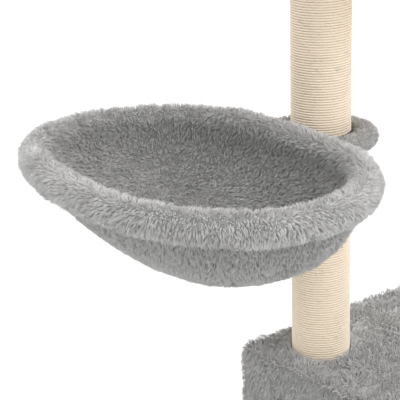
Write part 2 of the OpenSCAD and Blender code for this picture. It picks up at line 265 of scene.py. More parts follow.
def gathered(roots, tips, spacing, share, rng):
    """Pulls each tip towards the tip of the nearest leader, as a pile's strands cling in tufts."""
    leaders = np.flatnonzero(rng.random(len(roots)) < (spacing / TUFT) ** 2)
    tree = KDTree(len(leaders))
    for k, i in enumerate(leaders):
        tree.insert(roots[i], k)
    tree.balance()
    nearest = leaders[[tree.find(p)[1] for p in roots]]
    return tips + (tips[nearest] - tips) * share, nearest


def ringed(start, middles, tips, normals, width, rng):
    """The points of strands: a ring at the start, a thinner one at the middle, and the tip."""
    count = len(start)
    across = unit(np.cross(unit(tips - start), normals + 0.01))
    upright = unit(np.cross(unit(tips - start), across))
    thick = width / 2 * (1 + 0.2 * rng.normal(size=count)).clip(0.6, 1.5)[:, None]
    roll = rng.random(count)[:, None] * 2 * math.pi
    rings = []
    for middle, share in ((start, 1.0), (middles, 0.8)):
        for k in range(3):
            turn = roll + k * 2 * math.pi / 3
            rings.append(middle + (across * np.cos(turn) + upright * np.sin(turn)) * thick * share)
    return np.stack([*rings, tips], axis=1)


def hold_off(strands):
    """Moves the points of strands out of the floor and the post's rope."""
    strands[..., 2] = np.maximum(strands[..., 2], FLOOR_Z)
    away = strands[..., :2] - POST[:2]
    far = np.linalg.norm(away, axis=-1, keepdims=True)
    beside_post = (strands[..., 2:] > low("lower_rope")[2]) & (strands[..., 2:] < high("upper_rope")[2])
    push = np.where(beside_post, np.maximum(POST_R + POST_GAP, far) / far, 1)
    strands[..., :2] = POST[:2] + away * push


def grow(name, surface, material, length, spacing, width, lean, seed, body="stand", comb=brushed_down,
         gather=0.3, keep=None):
    """A pile on a surface, as pieces of real strands. lean is its angle from upright in degrees, as a
    number or a function of points. comb(points, normals) is the way it is brushed. gather is how far
    its tips cling in tufts, from 0 to 1. It grows where keep(points) says."""
    rng = np.random.default_rng(seed)
    roots, normals = spread_roots(surface, spacing, rng)
    if keep is not None:
        kept = keep(roots)
        roots, normals = roots[kept], normals[kept]
    count = len(roots)
    # a strand's direction sways with its near and far neighbours, and a little on its own
    sway = 0.7 * noise3(roots, 0.007, seed + 10) + 0.5 * noise3(roots, 0.03, seed + 20)
    sway += 0.4 * rng.normal(size=(count, 3))
    brushed = unit(comb(roots, normals)) + sway
    brushed = unit(brushed - normals * (brushed * normals).sum(axis=1, keepdims=True))
    # so do its length and its lean
    reach = length * (1 + 0.12 * rng.normal(size=count) + 0.14 * noise(roots, 0.012, seed + 30))
    reach = np.clip(reach, 0.6 * length, 1.3 * length)[:, None]
    lean = lean(roots) if callable(lean) else lean
    angle = np.radians(lean + 9 * rng.normal(size=count) + 12 * noise(roots, 0.02, seed + 40))[:, None]
    first = normals * np.cos(angle - BEND) + brushed * np.sin(angle - BEND)
    second = normals * np.cos(angle + BEND) + brushed * np.sin(angle + BEND)
    start = roots - normals * ROOTED
    tips, leaders = gathered(roots, start + (first + second) * reach / 2, spacing, gather, rng)
    middles = start + first * reach / 2 + (tips - start - (first + second) * reach / 2) * 0.3
    strands = ringed(start, middles, tips, normals, width, rng)
    hold_off(strands)
    tone = 0.5 * rng.normal(size=count) + 0.5 * rng.normal(size=count)[leaders]
    pieces = []
    batches = np.array_split(np.arange(count), max(1, math.ceil(count / MOST_STRANDS)))
    for k, chosen in enumerate(batches):
        piece_name = f"{name}_{k + 1}" if len(batches) > 1 else name
        piece = strands_piece(piece_name, strands[chosen], normals[chosen], tone[chosen], material)
        settle(piece, body)
        pieces.append(piece)
    return pieces


def strands_piece(name, strands, normals, tone, material):
    """One mesh of strands, with how far along each point is and the strand's tone. A strand is shaded
    partly as the surface under it, as thin hairs let light through."""
    count = len(strands)
    first = (np.arange(count) * STRAND_POINTS)[:, None, None]
    faces = [(first + STRAND_QUADS).reshape(-1, 4), (first + STRAND_TRIS).reshape(-1, 3)]
    obj = make_mesh(name, strands.reshape(-1, 3), faces, material)
    rings, tips = strands[:, :-1], strands[:, -1:]
    middles = rings.reshape(count, 2, 3, 3).mean(axis=2)
    away = np.concatenate([rings - np.repeat(middles, 3, axis=1), tips - middles[:, 1:]], axis=1)
    soft = unit(unit(away) * (1 - SOFTNESS) + normals[:, None] * SOFTNESS)
    shaded = obj.data.attributes.new("custom_normal", "FLOAT_VECTOR", "POINT")
    shaded.data.foreach_set("vector", soft.astype(np.float32).ravel())
    for attribute, values in (("along", np.tile(STRAND_ALONG, count)),
                              ("tone", np.repeat(tone, STRAND_POINTS))):
        made = obj.data.attributes.new(attribute, "FLOAT", "POINT")
        made.data.foreach_set("value", values.astype(np.float32))
    # each strand has its own square of the UV map
    side = math.ceil(math.sqrt(count))
    cell = np.stack([np.arange(count) % side, np.arange(count) // side], axis=1)[:, None, :]
    inner = 0.1 + 0.8 * STRAND_UV
    quads, tris = ((cell + part).reshape(-1, 2) for part in np.split(inner, [STRAND_QUADS.size]))
    layer = obj.data.uv_layers.new(name=BAKE_MAP)
    layer.data.foreach_set("uv", (np.concatenate([quads, tris]) / side).astype(np.float32).ravel())
    return obj


# ---- Surfaces ----


def turns(count):
    """Angles evenly round a circle."""
    return np.arange(count) * 2 * math.pi / count


def rim_at(a):
    """The rim's radius at angle a."""
    return RIM_R - RIM_OVAL * np.cos(2 * a) - RIM_EGG * np.sin(3 * a)


def rim_point(a, q, up):
    """Points at angle a and distance q from the rim's middle, raised by up, in the rim's tilted plane."""
    x, y = q * np.cos(a), q * np.sin(a)
    return np.stack([RIM_MIDDLE[0] + x, RIM_MIDDLE[1] + y,
                     RIM_MIDDLE[2] + up - RIM_FALL * x + RIM_RISE * y], axis=-1)


def hill(a, at, width):
    """A smooth hill of height 1 round one angle."""
    away = (a - at + math.pi) % (2 * math.pi) - math.pi
    return np.exp(-(away / width) ** 2)


def rim_sag(a):
    """How high the padding rides on the rim: its ends along Y sink, and so do the stretch in front of
    the post and the far end, but it stands proud behind the post."""
    return (RIM_WAVE * np.cos(2 * a) - DIP * hill(a, DIP_AT, DIP_WIDTH)
            + BACK * hill(a, BACK_AT, BACK_WIDTH) - END_DROP * hill(a, END_AT, END_WIDTH))


def padding_at(a):
    """The radius of the padding's middle at angle a, which is pulled out at the bowl's far end."""
    return rim_at(a) + END_OUT * hill(a, END_AT, END_WIDTH)


def roll_surface(half_width, half_height):
    """The padded roll, a tube of oval section along the rim."""
    steps, sides = 240, 32
    a, b = grid(turns(steps), -turns(sides))
    points = rim_point(a, padding_at(a) + half_width * np.cos(b), half_height * np.sin(b) + rim_sag(a))
    return Surface(points, grid_quads(steps, sides, True, True))


def from_rim(points):
    """How far points lie outside the rim and above its padding's middle."""
    x, y = (points - RIM_MIDDLE)[:, :2].T
    a = np.arctan2(y, x)
    level = RIM_MIDDLE[2] - RIM_FALL * x + RIM_RISE * y + rim_sag(a)
    return np.hypot(x, y) - padding_at(a), points[:, 2] - level


def disc_grid(side):
    """The x and y of a square grid of side by side points that fills a disc of radius 1."""
    u, v = grid(np.linspace(-1, 1, side), np.linspace(-1, 1, side))
    wide = np.abs(u) > np.abs(v)
    ratio = np.where(wide, v, u) / np.where(wide, u, np.where(v == 0, 1, v))
    angle = np.where(wide, math.pi / 4 * ratio, math.pi / 2 - math.pi / 4 * ratio)
    reach = np.where(wide, u, v)
    return reach * np.cos(angle), reach * np.sin(angle)


def bowl_surface(inset, inside):
    """One face of the bowl, as a square grid from its edge to its deepest point. The outside starts
    within the roll. The inside laps over the roll to its top."""
    side = 84
    x, y = disc_grid(side)
    a, out = np.arctan2(y, x), np.hypot(x, y)
    lap = LAP_SHARE if inside else 0
    over = np.clip((out - 1 + lap) / max(lap, 1e-6), 0, 1) * math.pi / 2
    drop = math.pi / 2 * (1 - np.clip(out / (1 - lap), 0, 1 if inside else SHELL_TOP))
    if inside:
        inset = inset + (LAP_INSET - inset) * np.cos(drop) ** 2
    else:
        inset = inset + TUCK * np.cos(drop) ** 2 * np.clip(np.cos(a - TUCK_AT), 0, 1)
    q = (rim_at(a) * (1 - SHELL_IN) - SHELL_GAP - inset) * np.cos(drop)
    q += LAP_OUT * (1 - np.cos(over)) * (over > 0)
    up = (inset - BOWL_DEPTH) * np.sin(drop) + LAP_UP * np.sin(over) + rim_sag(a) * np.cos(drop) ** 2
    points = rim_point(a, q, up)
    points[:, :2] += BELLY * np.sin(drop)[:, None]
    quads = grid_quads(side, side)
    return Surface(points, quads[:, ::-1] if inside else quads)


def collar_surface(half_height, arc):
    """The padded collar, a flat tube from the hoop in to the post, from -arc to arc."""
    steps, sides, squareness = 96, 24, 0.7
    h, b = grid(np.linspace(-arc, arc, steps), -turns(sides))
    inner = HOOP_SHIFT * np.cos(h) + np.sqrt(PAD_IN ** 2 - (HOOP_SHIFT * np.sin(h)) ** 2)
    outer = HOOP_R + PAD_OUT
    across = np.sign(np.cos(b)) * np.abs(np.cos(b)) ** squareness
    out = (inner + outer) / 2 + (outer - inner) / 2 * across
    x, y = out * np.cos(h) - HOOP_SHIFT, out * np.sin(h)
    c, s = math.cos(BOWL_TURN), math.sin(BOWL_TURN)
    points = SWIVEL + np.stack([c * x - s * y, s * x + c * y, half_height * np.sin(b)], axis=1)
    return Surface(points, grid_quads(steps, sides, False, True))


def turned_in_surface(radius, front, back):
    """The part of a cover that is drawn in round the door's edge, from its face to its inside."""
    steps = 120
    face = [(radius + 0.010, front), (radius + 0.005, front)]
    rounded = [(radius + 0.0015, front + 0.0012), (radius, front + 0.004)]
    inside = [(radius, y) for y in np.linspace(front + 0.008, back, 4)]
    profile = np.array([*face, *rounded, *inside])
    a, k = grid(turns(steps), np.arange(len(profile)))
    out, y = profile[k].T
    points = np.stack([DOOR[0] + out * np.cos(a), y, DOOR[2] + out * np.sin(a)], axis=1)
    return Surface(points, grid_quads(steps, len(profile), True, False)[:, ::-1])


def joined(first, second):
    """Two sheets as one."""
    return Surface(np.concatenate([first.points, second.points]),
                   np.concatenate([first.quads, second.quads + len(first.points)]))


def ring_surface(middle, radius, thick):
    """A tube in a circle that faces along Y."""
    steps, sides = 120, 16
    a, b = grid(turns(steps), -turns(sides))
    out = radius + thick * np.cos(b)
    points = middle + np.stack([out * np.cos(a), -thick * np.sin(b), out * np.sin(a)], axis=1)
    return Surface(points, grid_quads(steps, sides, True, True))


def places(start, end, radius, step):
    """Places from start to end, closer together where an edge is rounded."""
    bend = radius * np.array([0, 0.35, 0.7])
    count = max(2, round((end - start - 2 * radius) / step) + 1)
    return np.concatenate([start + bend, np.linspace(start + radius, end - radius, count),
                           (end - bend)[::-1]])


def box_surface(start, end, radius, step, sides):
    """Some sides of a box with rounded edges. A side is its axis, and 0 for the low end or 1 for the
    high."""
    along = [places(start[k], end[k], radius, step) for k in range(3)]
    points, quads, count = [], [], 0
    for axis, last in sides:
        p, q = (k for k in range(3) if k != axis)
        u, v = grid(along[p], along[q])
        flat = np.empty((len(u), 3))
        flat[:, p], flat[:, q] = u, v
        flat[:, axis] = (start, end)[last][axis]
        faces = grid_quads(len(along[p]), len(along[q])) + count
        quads.append(faces[:, ::-1] if (last == 1) != (axis == 1) else faces)
        points.append(flat)
        count += len(flat)
    points = np.concatenate(points)
    round_low = np.array([radius * ((k, 0) in sides) for k in range(3)])
    round_high = np.array([radius * ((k, 1) in sides) for k in range(3)])
    inner = np.clip(points, start + round_low, end - round_high)
    rounding = np.where(points == inner, 0, radius).max(axis=1, keepdims=True)
    points = inner + unit(points - inner) * rounding
    merged, back = np.unique(points.round(6), axis=0, return_inverse=True)
    return Surface(merged, back.ravel()[np.concatenate(quads)])


def round_hole(surface, middle, axis, radius, step, near):
    """Cuts a round hole through the part of a surface that is near its middle along the axis."""
    points = surface.points.copy()
    flat = [k for k in range(3) if k != axis]
    away = points[:, flat] - middle[flat]
    far = np.linalg.norm(away, axis=1)
    moved = (np.abs(far - radius) < 0.6 * step) & (np.abs(points[:, axis] - middle[axis]) < near)
    points[np.ix_(moved, flat)] = middle[flat] + away[moved] / far[moved, None] * radius
    centre = points[surface.quads].mean(axis=1)
    in_hole = np.linalg.norm(centre[:, flat] - middle[flat], axis=1) < radius
    is_near = np.abs(centre[:, axis] - middle[axis]) < near
    return Surface(points, surface.quads[~(in_hole & is_near)])


WALLS = [(0, 0), (0, 1), (1, 0), (1, 1)]  # the four upright sides of a box
TOP = (2, 1)
BOTTOM = (2, 0)

# ---- Materials ----

ROPE_MAP = "rope"  # the UV map of how far along and round the rope a point is


class Paint:
    """A material under construction: its nodes, with short ways to add and join them."""

    def __init__(self, name, roughness=0.6, metallic=0.0):
        self.material = bpy.data.materials.new(name)
        self.material.use_nodes = True
        self.tree = self.material.node_tree
        self.shader = self.tree.nodes["Principled BSDF"]
        self.shader.inputs["Roughness"].default_value = roughness
        self.shader.inputs["Metallic"].default_value = metallic

    def node(self, kind, inputs=(), **settings):
        made = self.tree.nodes.new("ShaderNode" + kind)
        for key, value in settings.items():
            setattr(made, key, value)
        for key, value in dict(inputs).items():
            if isinstance(value, bpy.types.NodeSocket):
                self.tree.links.new(value, made.inputs[key])
            else:
                made.inputs[key].default_value = value
        return made

    def place(self, scale=(1, 1, 1)):
        """The point on the object, stretched by scale."""
        coordinates = self.node("TexCoord").outputs["Object"]
        return self.node("Mapping", {"Vector": coordinates, "Scale": scale}).outputs[0]

    def cloud(self, scale, detail=3.0, vector=None, roughness=0.55):
        """Noise from 0 to 1."""
        vector = vector or self.place()
        inputs = {"Scale": scale, "Detail": detail, "Roughness": roughness, "Vector": vector}
        return self.node("TexNoise", inputs).outputs["Fac"]

    def ramp(self, factor, *stops):
        """Colours between stops, each a place and a colour."""
        made = self.node("ValToRGB", {"Fac": factor})
        elements = made.color_ramp.elements
        while len(elements) < len(stops):
            elements.new(0.5)
        for element, (place, colour) in zip(elements, stops):
            element.position = place
            element.color = (*colour, 1)
        return made.outputs["Color"]

    def math(self, operation, a, b=0.0, c=0.0):
        return self.node("Math", {0: a, 1: b, 2: c}, operation=operation).outputs[0]

    def mixed(self, factor, a, b, blend="MIX"):
        """Colour a with colour b mixed into it."""
        made = self.node("Mix", data_type="RGBA", blend_type=blend)
        for socket, value in zip((made.inputs[0], made.inputs[6], made.inputs[7]), (factor, a, b)):
            if isinstance(value, bpy.types.NodeSocket):
                self.tree.links.new(value, socket)
            else:
                socket.default_value = (*value, 1) if isinstance(value, tuple) else value
        return made.outputs[2]

    def colour(self, socket):
        self.tree.links.new(socket, self.shader.inputs["Base Color"])

    def rough(self, socket):
        self.tree.links.new(socket, self.shader.inputs["Roughness"])

    def bump(self, height, strength, distance):
        made = self.node("Bump", {"Height": height, "Strength": strength, "Distance": distance})
        self.tree.links.new(made.outputs[0], self.shader.inputs["Normal"])

    def sheen(self, weight):
        self.shader.inputs["Sheen Weight"].default_value = weight
        self.shader.inputs["Sheen Roughness"].default_value = 0.5


def grey(value):
    """A grey that is very slightly warm."""
    warmth = 0.008
    return (value * (1 + warmth), value, value * (1 - 1.5 * warmth))


def pile_material(name, root, tip):
    """Strands that are darker at the root, each with a tone of its own."""
    paint = Paint(name, roughness=0.85)
    along = paint.node("Attribute", attribute_name="along").outputs["Fac"]
    tone = paint.node("Attribute", attribute_name="tone").outputs["Fac"]
    shade = paint.math("MULTIPLY_ADD", tone, 0.10, 1.0)
    blotch = paint.math("MULTIPLY_ADD", paint.cloud(28), 0.20, 0.90)
    shade = paint.math("MULTIPLY", shade, blotch)
    shade = paint.node("CombineColor", {0: shade, 1: shade, 2: shade}).outputs[0]
    base = paint.ramp(along, (0.0, grey(root)), (0.45, grey((root + tip) / 2)), (1.0, grey(tip)))
    paint.colour(paint.mixed(1.0, base, shade, "MULTIPLY"))
    paint.sheen(0.25)
    return paint.material


def backing_material(name, dark, light):
    """The knitted backing and short underfur that show between the strands."""
    paint = Paint(name, roughness=0.95)
    fine = paint.cloud(650, 2)
    coarse = paint.mixed(0.4, fine, paint.cloud(90))
    paint.colour(paint.ramp(coarse, (0.3, grey(dark)), (0.75, grey(light))))
    paint.bump(fine, 0.6, 0.002)
    paint.sheen(0.2)
    return paint.material


def sisal_material(name):
    """Twisted sisal: slanting strands along the rope, fine fibres, patches, and painted shade in the grooves
    between its turns.
    """
    paint = Paint(name)
    split = paint.node("SeparateXYZ", {0: paint.node("UVMap", uv_map=ROPE_MAP).outputs[0]})
    along, around = split.outputs[0], split.outputs[1]
    lay = paint.math("SINE", paint.math("MULTIPLY", paint.math("ADD", along, around), 2 * math.pi))
    thread = paint.node("CombineXYZ", {0: paint.math("MULTIPLY", along, 0.6), 1: around}).outputs[0]
    fibres = paint.cloud(9, 4, thread, 0.7)
    patches = paint.cloud(22, 2)
    tan = paint.ramp(fibres, (0.25, (0.66, 0.54, 0.40)), (0.5, (0.82, 0.72, 0.58)),
                     (0.8, (0.93, 0.85, 0.73)))
    tan = paint.mixed(paint.math("MULTIPLY", patches, 0.25), tan, (0.84, 0.74, 0.58))
    height = paint.math("MULTIPLY_ADD", lay, 0.15, fibres)
    # painted shade: the colour darkens where the rope's surface turns into the groove between turns
    outwards = paint.math("COSINE", paint.math("MULTIPLY", around, 2 * math.pi))
    painted_groove_shade = paint.ramp(outwards, (0.0, (0.76, 0.66, 0.56)), (0.30, (0.91, 0.86, 0.80)),
                        (0.70, (1, 1, 1)))
    paint.colour(paint.mixed(1.0, tan, painted_groove_shade, "MULTIPLY"))
    paint.rough(paint.math("MULTIPLY_ADD", fibres, 0.25, 0.65))
    paint.bump(height, 0.3, 0.0005)
    return paint.material


def fibre_material(name):
    """Loose sisal hairs."""
    paint = Paint(name, roughness=0.7)
    paint.colour(paint.ramp(paint.cloud(60), (0.35, (0.36, 0.29, 0.20)), (0.7, (0.66, 0.57, 0.43))))
    return paint.material


def chipboard_material(name):
    """Pressed wood chips: flat angular flakes of several tans."""
    paint = Paint(name, roughness=0.75)
    ragged = paint.node("TexNoise", {"Vector": paint.place(), "Scale": 90}).outputs["Color"]
    warp = paint.node("VectorMath", {0: paint.place((260, 260, 420)), 1: ragged}, operation="ADD")
    chips = paint.node("TexVoronoi", {"Vector": warp.outputs[0], "Scale": 1.0}, feature="F1")
    tint = paint.node("SeparateColor", {0: chips.outputs["Color"]}).outputs[0]
    paint.colour(paint.ramp(tint, (0.0, (0.30, 0.19, 0.10)), (0.35, (0.52, 0.37, 0.21)),
                            (0.7, (0.66, 0.50, 0.31)), (1.0, (0.76, 0.62, 0.42))))
    paint.bump(chips.outputs["Distance"], 0.25, 0.0006)
    return paint.material


def cardboard_material(name):
    """Spiral-wound board, with a seam that climbs round the tube."""
    paint = Paint(name, roughness=0.85)
    fibres = paint.cloud(140, 5, paint.place((1, 1, 3)))
    seam = paint.node("TexWave", {"Vector": paint.place(), "Scale": 6.0, "Distortion": 0.4},
                      wave_type="BANDS", bands_direction="DIAGONAL").outputs["Fac"]
    base = paint.ramp(fibres, (0.3, (0.36, 0.25, 0.15)), (0.7, (0.54, 0.41, 0.27)))
    paint.colour(paint.mixed(paint.math("MULTIPLY", seam, 0.2), base, (0.30, 0.20, 0.12)))
    paint.bump(fibres, 0.3, 0.0005)
    return paint.material


def pine_material(name):
    """Turned pine with growth rings."""
    paint = Paint(name, roughness=0.6)
    wave = {"Vector": paint.place((1, 1, 0.15)), "Scale": 70.0, "Distortion": 5.0, "Detail": 2.0}
    rings = paint.node("TexWave", wave, wave_type="RINGS").outputs["Fac"]
    grain = paint.cloud(200, 4, paint.place((1, 1, 0.1)))
    base = paint.ramp(rings, (0.2, (0.74, 0.56, 0.33)), (0.9, (0.56, 0.36, 0.18)))
    paint.colour(paint.mixed(paint.math("MULTIPLY", grain, 0.4), base, (0.80, 0.64, 0.42)))
    paint.bump(grain, 0.2, 0.0004)
    return paint.material


def hard_material(name, mottle, stops, gloss, rough, grain, bump, metallic=0.0):
    """A hard finish from three noises. mottle runs between the stops, gloss has the width and start of
    its roughness, and grain has the strength and distance of its bump."""
    paint = Paint(name, metallic=metallic)
    paint.colour(paint.ramp(paint.cloud(*mottle), *stops))
    paint.rough(paint.math("MULTIPLY_ADD", paint.cloud(*gloss), *rough))
    paint.bump(paint.cloud(*grain), *bump)
    return paint.material


PILE = pile_material("plush_pile", root=0.39, tip=0.66)
# painted light: a lighter copy of the plush pile, so that the roof's top looks more brightly lit
PILE_PAINTED_LIT_ROOF = pile_material("plush_roof_pile", root=0.49, tip=0.79)
# painted shade: a darker copy of the plush pile, for the cabin's walls and the roof's edges
PILE_PAINTED_SHADE_SIDES = pile_material("plush_cabin_pile", root=0.29, tip=0.50)
# painted shade: a darker copy of the plush pile, for the bowl's inside and the collar
PILE_PAINTED_SHADE_INSIDE = pile_material("plush_lining_pile", root=0.265, tip=0.585)
# painted shade: a darker copy of the plush pile, for the bowl's outside under the rim
PILE_PAINTED_SHADE_UNDER = pile_material("plush_shell_pile", root=0.21, tip=0.48)
BACKING = backing_material("plush_backing", dark=0.28, light=0.40)
SISAL = sisal_material("sisal")
FIBRE = fibre_material("sisal_fibre")
CAD_MATERIALS = {
    "chipboard": chipboard_material("chipboard"),
    "cardboard": cardboard_material("cardboard"),
    "pine": pine_material("pine"),
    # bright plate with a fine spangle
    "zinc_steel": hard_material(
        "zinc_steel", mottle=(400, 3), stops=((0.3, (0.50, 0.52, 0.54)), (0.7, (0.72, 0.73, 0.74))),
        gloss=(900,), rough=(0.25, 0.22), grain=(400, 3), bump=(0.1, 0.0002), metallic=1.0),
    # powder coat with an orange-peel skin
    "black_steel": hard_material(
        "black_steel", mottle=(60, 5), gloss=(120,), rough=(0.2, 0.35), grain=(1400, 2),
        bump=(0.25, 0.0003), stops=((0.35, (0.012, 0.012, 0.013)), (0.75, (0.035, 0.035, 0.036)))),
    # natural nylon, slightly cloudy
    "nylon": hard_material(
        "nylon", mottle=(90, 3), stops=((0.3, (0.78, 0.78, 0.72)), (0.7, (0.88, 0.88, 0.84))),
        gloss=(90, 3), rough=(0.2, 0.35), grain=(800, 2), bump=(0.15, 0.0002)),
    "plush": BACKING,
    "sisal": SISAL,
}
for subpart in frame["record"]["subparts"]:
    for material_slot in frame["nodes"][subpart["node"]].material_slots:
        material_slot.material = CAD_MATERIALS[subpart["material_slot"]]

# ---- Sisal ----


def map_rope(obj, along, sides):
    """The rope's UV map: turns of its strands along it, and turns round it. Its two ends have none."""
    row = np.repeat(np.arange(len(along) - 1), sides)
    col = np.tile(np.arange(sides), len(along) - 1)
    corners = np.stack([np.stack([along[row + r], (col + c) / sides], axis=1)
                        for r, c in ((1, 0), (1, 1), (0, 1), (0, 0))], axis=1)
    uv = np.concatenate([corners.reshape(-1, 2), np.zeros((2 * sides, 2))])
    layer = obj.data.uv_layers.new(name=ROPE_MAP)
    layer.data.foreach_set("uv", uv.astype(np.float32).ravel())


def wound_rope(name, node):
    """One rope wound round a post from its foot to its top, turn against turn."""
    bottom, top = low(node)[2], high(node)[2]
    around, sides = 72, 9
    count = round((top - bottom - ROPE_D) / ROPE_D * around)
    at = np.arange(count + 1)
    turn = 2 * math.pi * at / around
    height = bottom + ROPE_D / 2 + (top - bottom - ROPE_D) * at / count
    knots = np.arange(0, count + 1, 40)  # its thickness varies over about half a turn
    uneven = np.interp(at, knots, np.random.default_rng(5).normal(size=len(knots)))
    t, b = np.meshgrid(turn, turns(sides), indexing="ij")
    thick = (ROPE_D / 2 * (1.0 + 0.012 * uneven))[:, None]
    out = POST_R - ROPE_D / 2 + thick * np.cos(b)
    points = np.stack([POST[0] + out * np.cos(t), POST[1] + out * np.sin(t),
                       height[:, None] + 0.00003 * uneven[:, None] + thick * np.sin(b)], axis=-1)
    quads = grid_quads(count + 1, sides, False, True)[:, ::-1]
    caps = np.array([np.arange(sides), np.arange(sides)[::-1] + count * sides])
    obj = make_mesh(name, points.reshape(-1, 3), [quads, caps], SISAL)
    map_rope(obj, at * 2 * math.pi * POST_R / around / ROPE_LAY, sides)
    settle(obj, "stand", node)


def loose_fibres(name, node, count, seed):
    """Short hairs that have worked loose from the rope."""
    rng = np.random.default_rng(seed)
    bottom, top = low(node)[2], high(node)[2]
    steps, sides, margin, radius = 6, 3, 0.006, 0.00026
    turn = rng.random(count) * 2 * math.pi
    height = bottom + margin + (top - bottom - 2 * margin) * rng.random(count)
    out = np.stack([np.cos(turn), np.sin(turn), np.zeros(count)], axis=1)
    sideways = np.stack([-np.sin(turn), np.cos(turn), np.zeros(count)], axis=1)
    root = np.array([POST[0], POST[1], 0]) + out * (POST_R - 0.0005)
    root[:, 2] = height
    outward = out * rng.uniform(0.3, 1.0, (count, 1))
    level = sideways * rng.choice([-1, 1], (count, 1)) * rng.uniform(0.3, 1.2, (count, 1))
    upward = np.array([0, 0, 1]) * rng.normal(size=(count, 1)) * 0.6
    way = unit(outward + level + upward)
    curl = unit(np.cross(way, rng.normal(size=(count, 3)))) * rng.uniform(0.1, 0.9, (count, 1))
    length = rng.uniform(0.005, 0.020, count)[:, None]
    points = []
    for s in np.arange(steps) / (steps - 1):
        middle = root + (way * s + curl * s * s * 0.5) * length
        thick = radius * (1 - 0.7 * s)
        for b in turns(sides):
            points.append(middle + (np.cross(way, curl) * math.cos(b) - curl * math.sin(b)) * thick)
    first = (np.arange(count) * steps * sides)[:, None, None]
    tube = first + grid_quads(steps, sides, False, True)
    caps = first + np.array([[2, 1, 0], [steps * sides - 3, steps * sides - 2, steps * sides - 1]])
    points = np.stack(points, axis=1).reshape(-1, 3)
    obj = make_mesh(name, points, [tube.reshape(-1, 4), caps.reshape(-1, 3)], FIBRE)
    settle(obj, "stand")


for length_name, fibre_seed in (("lower", 8), ("upper", 9)):
    wound_rope(f"{length_name}_winding", f"{length_name}_rope")
    loose_fibres(f"{length_name}_loose_fibres", f"{length_name}_rope", count=170, seed=fibre_seed)

# ---- Plush on the boards ----

PILE_UNDER = 0.0045  # the skin lies this much inside the CAD plush
SHEET_T = 0.003
HEM = 0.03  # how far a cover's edge is turned in under its board


def stretched_cover(name, node, surface, thickness=SHEET_T):
    """The cloth under a pile, glued and stapled over boards, in place of the CAD node."""
    obj = skin(name, surface, thickness)
    settle(obj, "stand", node)


def padding(name, node, surface, body):
    """The closed padding under a pile, in place of the CAD node."""
    obj = make_mesh(name, surface.points, [surface.quads], BACKING)
    settle(obj, body, node)


def inset_box(node, by, top):
    """A node's box, less that much on its four walls and on its top."""
    start, end = low(node), high(node)
    start[:2] += by
    end[:2] -= by
    end[2] -= top
    return start, end


def beyond_post(points):
    """How far outside the post's rope points are."""
    return np.hypot(*(points[:, :2] - POST[:2]).T) - POST_R


def off_the_door(front, gap):
    """Says which points are more than 20 mm behind front, or more than gap outside the door's opening."""
    def keep(points):
        outside = np.hypot(points[:, 0] - DOOR[0], points[:, 2] - DOOR[2]) - DOOR_R
        return (points[:, 1] > front + 0.02) | (outside > gap)

    return keep


def within(points, corners):
    """Which points are between two corners, as seen from above."""
    return ((points[:, :2] > corners[0]) & (points[:, :2] < corners[1])).all(axis=1)


def inside_hem(board):
    """The part of a board's underside that its cover leaves bare, as two corners."""
    return low(board)[:2] + HEM, high(board)[:2] - HEM


def roof_plush():
    """The roof's cover, which is pushed up into a heap round the post."""
    start, end = inset_box("roof_cover", 0.0065, 0.0055)
    surface = box_surface(start, end, radius=0.004, step=0.005, sides=[*WALLS, TOP])
    surface = surface.lumpy(amount=0.0008, size=0.05, seed=3)
    surface = round_hole(surface, POST, axis=2, radius=POST_R + 0.001, step=0.005, near=1.0)
    downhill = np.clip(unit(surface.points[:, :2] - POST[:2]) @ BRUSHED[:2], 0, 1)
    heap = 0.0075 - 0.0053 * downhill
    on_top = surface.points[:, 2] > end[2] - 0.004
    surface.points[:, 2] += heap * np.exp(-(beyond_post(surface.points) / 0.012) ** 2) * on_top
    edge = end[2] - 0.0013

    def upright_by_the_post(p):
        return 8 + 32 * np.clip(beyond_post(p) / 0.015, 0, 1)

    piles = grow("roof_pile", surface, PILE_PAINTED_LIT_ROOF, length=0.0112, spacing=0.0018, width=0.0011,
                 lean=upright_by_the_post, seed=11,
                 keep=lambda p: (p[:, 2] > edge) & (beyond_post(p) > 0.001))
    # painted shade: the roof's edges get the darker copy of the pile
    piles += grow("roof_edge_pile", surface, PILE_PAINTED_SHADE_SIDES, length=0.0105, spacing=0.0018, width=0.0011,
                  lean=56, seed=12, keep=lambda p: p[:, 2] <= edge)
    stretched_cover("roof_plush", "roof_cover", surface)


def cabin_plush():
    """The cover of the cabin's walls, with the part that is drawn in round the door."""
    start, end = inset_box("cabin_cover", 0.0066, 0)
    surface = box_surface(start, end, radius=0.003, step=0.006, sides=WALLS)
    surface = surface.lumpy(amount=0.0005, size=0.06, seed=5)
    surface = round_hole(surface, DOOR, axis=1, radius=DOOR_R + 0.002, step=0.006, near=0.05)
    turned_in = turned_in_surface(DOOR_R - 0.0034, start[1] - 0.0005, high("cabin_front")[1] + 0.002)
    piles = grow("cabin_pile", surface, PILE_PAINTED_SHADE_SIDES, length=0.0092, spacing=0.0023, width=0.0014,
                 lean=60, seed=21, keep=off_the_door(start[1], 0.009))
    piles += grow("door_edge_pile", turned_in, PILE, length=0.005, spacing=0.0022, width=0.0013,
                  lean=55, seed=23, comb=lambda points, normals: np.array([0, -1.0, -0.3]))
    stretched_cover("cabin_plush", "cabin_cover", joined(surface, turned_in))


def cabin_inside():
    """The thin plush glued inside the cabin, with a short nap."""
    start, end = low("cabin_lining"), high("cabin_lining")
    surface = box_surface(start + [0.002, 0.002, 0], end - [0.002, 0.002, 0], radius=0.004, step=0.007,
                          sides=WALLS)
    surface = round_hole(surface, DOOR, axis=1, radius=DOOR_R + 0.002, step=0.007, near=0.06)
    surface = Surface(surface.points, surface.quads[:, ::-1]).lumpy(amount=0.0008, size=0.04, seed=9)
    piles = grow("lining_pile", surface, PILE, length=0.006, spacing=0.0040, width=0.0020, lean=50,
                 seed=51, keep=off_the_door(start[1], 0.006))
    stretched_cover("cabin_inner_plush", "cabin_lining", surface,
                    thickness=0.0015)


